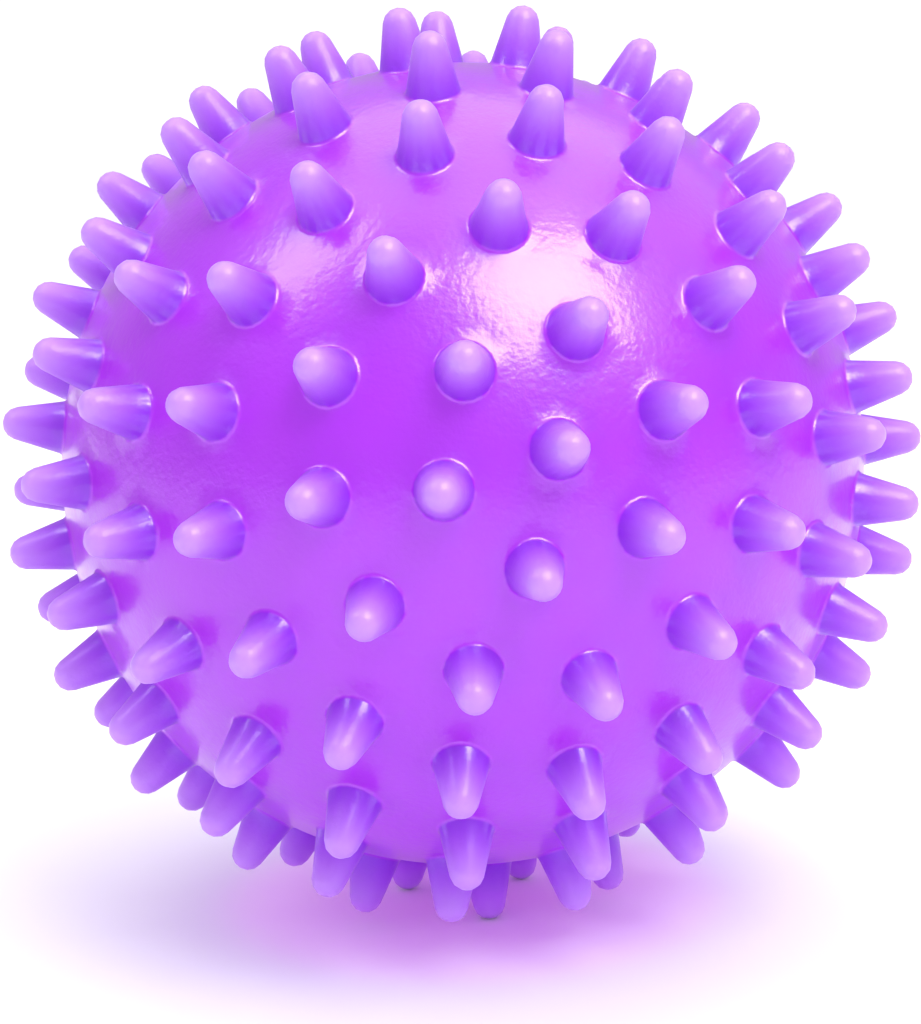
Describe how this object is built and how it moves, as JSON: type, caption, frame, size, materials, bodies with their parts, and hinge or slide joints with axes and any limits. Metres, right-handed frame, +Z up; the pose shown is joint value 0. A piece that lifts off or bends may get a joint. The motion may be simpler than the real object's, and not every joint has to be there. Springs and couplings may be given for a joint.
{
  "type": "massage ball",
  "caption": "Hollow soft vinyl ball with rounded cone nubs all over, an inflation sleeve at one pole and a plug that pulls out.",
  "frame": {"origin": "centre of the ball's skin", "axes": "+Z up as the ball lies on three nubs of its belt; the mould axis lies in the YZ plane, with its front pole toward -Y and raised, and the valve's mouth at the rear pole toward +Y and lowered"},
  "size_m": [0.0892, 0.0896, 0.0888],
  "materials": {
    "skin": "glossy translucent soft vinyl",
    "sleeve": "satin soft vinyl",
    "plug": "milky moulded plastic"
  },
  "bodies": {
    "ball": {"ball_skin": "skin", "valve_sleeve": "sleeve"},
    "plug": {"valve_plug": "plug"}
  },
  "joints": [
    {"name": "plug_pull", "type": "slide", "parent": "ball", "child": "plug", "axis": [0, 0.9859, -0.1672], "range_m": [0, 0.025]}
  ]
}
